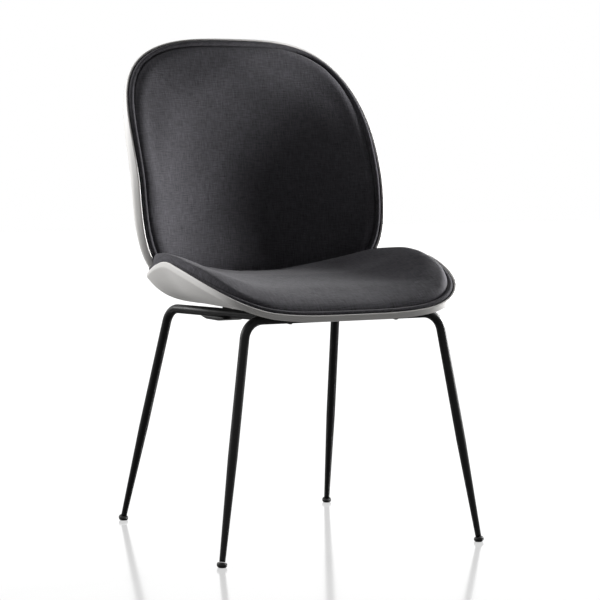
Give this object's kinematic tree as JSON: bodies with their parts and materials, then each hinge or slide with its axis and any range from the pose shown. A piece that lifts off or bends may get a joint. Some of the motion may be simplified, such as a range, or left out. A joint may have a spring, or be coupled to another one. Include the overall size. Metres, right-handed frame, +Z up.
{
  "type": "upholstered dining chair",
  "caption": "Armless dining chair: a rounded padded back and dished padded seat in matte plastic shells, on a bent steel tube frame with splayed tapering legs.",
  "frame": {"origin": "on the floor, under the middle of the chair's outline seen from above", "axes": "+Z up, the sitter faces -Y, the sitter's left is +X"},
  "size_m": [0.5118, 0.497, 0.869],
  "materials": {
    "upholstery": "charcoal linen-weave fabric over foam, with a self-fabric piped edge",
    "shell_plastic": "warm white moulded plastic, matte",
    "black_steel": "black powder coat, satin",
    "black_nylon": "black nylon, slightly polished where it rubs",
    "zinc_steel": "zinc plated",
    "plywood": "raw beech plywood"
  },
  "bodies": {
    "root": {"seat_shell": "shell_plastic", "back_shell": "shell_plastic", "seat_board": "plywood", "back_board": "plywood", "seat_pad": "upholstery", "back_pad": "upholstery", "seat_piping": "upholstery", "back_piping": "upholstery", "front_leg_hoop": "black_steel", "rear_leg_right": "black_steel", "rear_leg_left": "black_steel", "glide_front_right": "black_nylon", "glide_front_left": "black_nylon", "glide_rear_right": "black_nylon", "glide_rear_left": "black_nylon", "tab_front_right": "black_steel", "tab_front_left": "black_steel", "tab_rear_right": "black_steel", "tab_rear_left": "black_steel", "washer_front_right": "black_steel", "washer_front_left": "black_steel", "bolt_front_right": "black_steel", "bolt_front_left": "black_steel", "bolt_rear_right": "black_steel", "bolt_rear_left": "black_steel", "spacer_front_right": "black_nylon", "spacer_front_left": "black_nylon", "spacer_rear_right": "black_nylon", "spacer_rear_left": "black_nylon", "tee_nut_front_right": "zinc_steel", "tee_nut_front_left": "zinc_steel", "tee_nut_rear_right": "zinc_steel", "tee_nut_rear_left": "zinc_steel", "joint_strap": "zinc_steel", "joint_floor_screw_right": "black_steel", "joint_floor_screw_left": "black_steel", "joint_back_screw_right": "zinc_steel", "joint_back_screw_left": "zinc_steel"}
  },
  "joints": []
}
